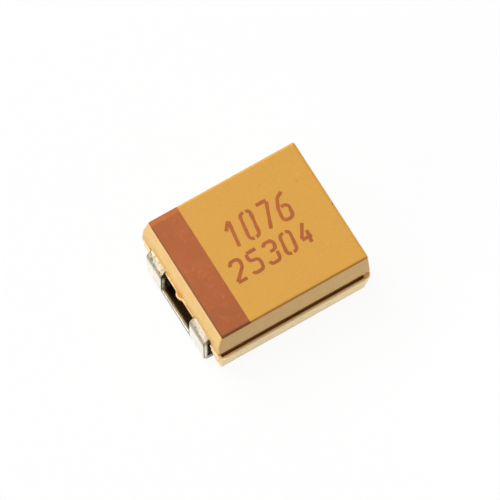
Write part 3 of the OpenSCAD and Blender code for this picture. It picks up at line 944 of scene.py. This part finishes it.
class CAPACITOR_OT_flash(bpy.types.Operator):
    """Run the line of flash along the web and round the broken gate"""
    bl_idname = "capacitor.flash"
    bl_label = "Run flash"

    def execute(self, context):
        shape = context.scene.capacitor_shape
        front, radius = -CASE_HIGH.x, shape.gate / 2
        centre = front + radius - shape.gate_out
        first = math.asin((centre - front) / radius)           # where the gate leaves the web
        sweep = math.pi - 2 * first
        points = [(front, shape.web / 2)]
        for i in range(GATE_STEPS + 1):
            angle = first + sweep * i / GATE_STEPS
            points.append((centre - radius * math.sin(angle), radius * math.cos(angle)))
        points.append((front, -shape.web / 2))
        level = PARTING - shape.flash / 2
        sweep_strokes("gate_flash", [[(x, y, level) for x, y in points]], "moulded_epoxy",
                      Stroke=shape.flash, Film=shape.flash, Turn_radius=0.01, Turn_steps=2,
                      Sample=0.02, Unevenness=1.2, Material=powder(*FLASH_FINISH))
        return {"FINISHED"}


class CAPACITOR_OT_numerals(bpy.types.Operator):
    """Burn two rows of plain numerals into the top"""
    bl_idname = "capacitor.numerals"
    bl_label = "Burn numerals"

    def execute(self, context):
        sizes = context.scene.capacitor_numerals
        level = CASE_HIGH.z + 0.5 * sizes.film
        strokes = row_strokes(sizes.first_row, BAND_HIGH.x + sizes.first_gap, sizes.first_base,
                              sizes.first_height, sizes, level)
        strokes += row_strokes(sizes.second_row, BAND_HIGH.x + sizes.second_gap, sizes.second_base,
                               sizes.second_height, sizes, level)
        sweep_strokes("numerals", strokes, "band_ink", Stroke=sizes.stroke, Film=sizes.film,
                      Turn_radius=sizes.turn, Turn_steps=5, Sample=0.025,
                      Unevenness=sizes.unevenness, Material=bpy.data.materials["Burnt resin"])
        return {"FINISHED"}


class CAPACITOR_OT_terminals(bpy.types.Operator):
    """Stamp and fold the two terminals"""
    bl_idname = "capacitor.terminals"
    bl_label = "Fold terminals"

    def execute(self, context):
        shape = context.scene.capacitor_terminals
        metal = tinned_metal(shape, context.scene.capacitor_tin)
        half, radius = shape.sheet / 2, shape.inner_bend + shape.sheet / 2
        turn = radius * (2 - math.pi / 2)                 # what a square bend takes off the length

        # anode: tongue, 45 degree step up, crossbar, window, upright and foot
        reach, level, outer = outer_path(shape, -1, ANODE_LOW, ANODE_HIGH)
        tongue_z = shape.tongue_top - half
        foot = shape.tongue_end + shape.tongue_length
        rise = level - tongue_z
        path = [(-shape.tongue_end, tongue_z), (-foot, tongue_z), (-foot - rise, level)] + outer
        step = 2 * (2 * radius * math.tan(math.pi / 8) - radius * math.pi / 4)
        start = shape.tongue_length + rise * math.sqrt(2) - step       # length at the step's top
        window = start + shape.crossbar
        corner = start + reach - foot - rise                           # length at the outer corner
        window_end = corner - turn + level - shape.notch_base
        total = bend_stations(path, radius, shape.bend_steps)[1]
        wide = (ANODE_HIGH.y - ANODE_LOW.y) / 2
        fold_terminal("anode_lead", "anode_terminal", path, [
            strip([(0, shape.tongue / 2), (start, shape.tongue / 2), (start, wide), (total, wide)]),
            rounded_window(window, window_end, shape.notch / 2, shape.notch_corner)], shape, metal)

        # cathode: paddle, riser, shoulder, upright and foot
        reach, level, outer = outer_path(shape, 1, CATHODE_LOW, CATHODE_HIGH)
        paddle_z = shape.paddle_top - half
        riser = shape.riser + half
        path = [(CATHODE_LOW.x, paddle_z), (riser, paddle_z), (riser, level)] + outer
        start = riser - CATHODE_LOW.x - turn + level - paddle_z - turn + shape.shoulder - riser
        total = bend_stations(path, radius, shape.bend_steps)[1]
        wide = (CATHODE_HIGH.y - CATHODE_LOW.y) / 2
        fold_terminal("cathode_lead", "cathode_terminal", path, [
            strip([(0, shape.paddle / 2), (start, shape.paddle / 2), (start, wide), (total, wide)])],
            shape, metal)
        return {"FINISHED"}


class CAPACITOR_OT_inner_parts(bpy.types.Operator):
    """Finish the wire, the washer, the pellet and its coats"""
    bl_idname = "capacitor.inner_parts"
    bl_label = "Finish inner parts"

    def execute(self, context):
        for node, (name, base, lift, roughness, metallic, grain, depth) in INNER_FINISHES.items():
            paint(node, powder(name, base, lift, roughness, metallic, grain, depth))
        return {"FINISHED"}


# brightness property, direction it stands in, distance and size in millimetres
SOFTBOXES = (("key", (-0.3, 0.5, 0.8), 90, 60), ("side", (-1.0, 0.1, 0.3), 90, 60),
             ("front", (1.0, -1.0, 0.12), 12, 8), ("overhead", (0.1, -0.15, 1.0), 100, 120))


class CAPACITOR_OT_stage(bpy.types.Operator):
    """Set the floor, the surround, the lamps and the camera"""
    bl_idname = "capacitor.stage"
    bl_label = "Set stage"

    def execute(self, context):
        setup = context.scene.capacitor_stage
        context.scene.view_settings.view_transform = "Standard"
        lay_floor(setup)
        light_surround(setup)
        for name, direction, distance, size in SOFTBOXES:
            hang_lamp(name + "_softbox", direction, distance * MM, size * MM, getattr(setup, name))
        aim_camera(context, setup)
        return {"FINISHED"}


def seen_directly(tree):
    """One for rays from the camera, from a reflection or through glass."""
    path = add(tree, "ShaderNodeLightPath")
    seen = maths(tree, "MAXIMUM", path.outputs["Is Camera Ray"], path.outputs["Is Glossy Ray"])
    return maths(tree, "MAXIMUM", seen, path.outputs["Is Transmission Ray"])


def lay_floor(setup):
    """Pale floor that shows near white and keeps a faint shadow."""
    half = setup.floor_size * MM / 2
    mesh = bpy.data.meshes.new("floor")
    mesh.from_pydata([(-half, -half, 0), (half, -half, 0), (half, half, 0), (-half, half, 0)], [],
                     [(0, 1, 2, 3)])
    material = bpy.data.materials.new("Pale floor")
    material.use_nodes = True
    tree = material.node_tree
    tree.nodes.clear()
    matt = add(tree, "ShaderNodeBsdfDiffuse", {"Color": tuple(setup.floor_colour)})
    glow = add(tree, "ShaderNodeEmission", {"Color": (1, 1, 1, 1), "Strength": 1.0})
    white = maths(tree, "MULTIPLY", seen_directly(tree), setup.floor_glow)
    mixed = add(tree, "ShaderNodeMixShader", {0: white, 1: matt.outputs[0], 2: glow.outputs[0]})
    add(tree, "ShaderNodeOutputMaterial", {"Surface": mixed.outputs[0]})
    mesh.materials.append(material)
    make_object("floor", mesh)


def light_surround(setup):
    """Soft surround, white where it is seen or reflected."""
    world = bpy.data.worlds.new("Surround")
    bpy.context.scene.world = world
    world.use_nodes = True
    tree = world.node_tree
    tree.nodes.clear()
    soft = add(tree, "ShaderNodeBackground", {"Color": (1, 1, 1, 1), "Strength": setup.sky})
    white = add(tree, "ShaderNodeBackground", {"Color": (1, 1, 1, 1), "Strength": 1.0})
    mixed = add(tree, "ShaderNodeMixShader", {0: seen_directly(tree), 1: soft.outputs[0],
                                              2: white.outputs[0]})
    add(tree, "ShaderNodeOutputWorld", {"Surface": mixed.outputs[0]})


def hang_lamp(name, direction, distance, size, brightness):
    """A square softbox that faces the part, with its brightness as radiance."""
    lamp = bpy.data.lights.new(name, "AREA")
    lamp.shape, lamp.size = "SQUARE", size
    lamp.energy = brightness * math.pi * size ** 2
    item = bpy.data.objects.new(name, lamp)
    bpy.context.scene.collection.objects.link(item)
    towards = Vector(direction).normalized()
    item.location = towards * distance
    item.rotation_euler = towards.to_track_quat("Z", "Y").to_euler()


def aim_camera(context, setup):
    """A long-lens camera from the upper front left."""
    turn, height = setup.azimuth, setup.elevation
    back = Vector((math.sin(turn) * math.cos(height), -math.cos(turn) * math.cos(height),
                   math.sin(height)))
    right = Vector((math.cos(turn), math.sin(turn), 0))
    up = back.cross(right)
    camera = bpy.data.cameras.new("camera")
    camera.lens, camera.sensor_width = setup.lens, SENSOR
    distance = setup.view_width * MM * setup.lens / camera.sensor_width
    item = bpy.data.objects.new("camera", camera)
    context.scene.collection.objects.link(item)
    depth = back.dot(Vector((0, 0, CASE_HIGH.z)))
    aim = (right * setup.aim_right + up * setup.aim_up + back * depth) * MM
    item.location = aim + back * distance
    item.rotation_mode = "QUATERNION"
    item.rotation_quaternion = Matrix((right, up, back)).transposed().to_quaternion()
    camera.clip_start, camera.clip_end = distance * 0.1, distance * 10
    context.scene.camera = item


class CAPACITOR_PT_panel(bpy.types.Panel):
    """Sizes, colours and steps of the capacitor"""
    bl_idname = "CAPACITOR_PT_panel"
    bl_label = "Chip capacitor"
    bl_space_type = "VIEW_3D"
    bl_region_type = "UI"
    bl_category = "Capacitor"

    def draw(self, context):
        for name, group in GROUPS.items():
            box = self.layout.box()
            box.label(text=group.__doc__.strip("."))
            for field in group.__annotations__:
                box.prop(getattr(context.scene, name), field)
        for operator in OPERATORS:
            self.layout.operator(operator.bl_idname)


OPERATORS = (CAPACITOR_OT_node_groups, CAPACITOR_OT_case, CAPACITOR_OT_flash, CAPACITOR_OT_numerals,
             CAPACITOR_OT_terminals, CAPACITOR_OT_inner_parts, CAPACITOR_OT_stage)
CLASSES = (*GROUPS.values(), *OPERATORS, CAPACITOR_PT_panel)


def register():
    for item in CLASSES:
        bpy.utils.register_class(item)
    for name, group in GROUPS.items():
        setattr(bpy.types.Scene, name, bpy.props.PointerProperty(type=group))


def unregister():
    for name in GROUPS:
        delattr(bpy.types.Scene, name)
    for item in reversed(CLASSES):
        bpy.utils.unregister_class(item)


def main():
    register()
    bpy.ops.capacitor.node_groups()
    bpy.ops.capacitor.case()
    bpy.ops.capacitor.flash()
    bpy.ops.capacitor.numerals()
    bpy.ops.capacitor.terminals()
    bpy.ops.capacitor.inner_parts()
    bpy.ops.capacitor.stage()


if __name__ == "__main__":
    main()
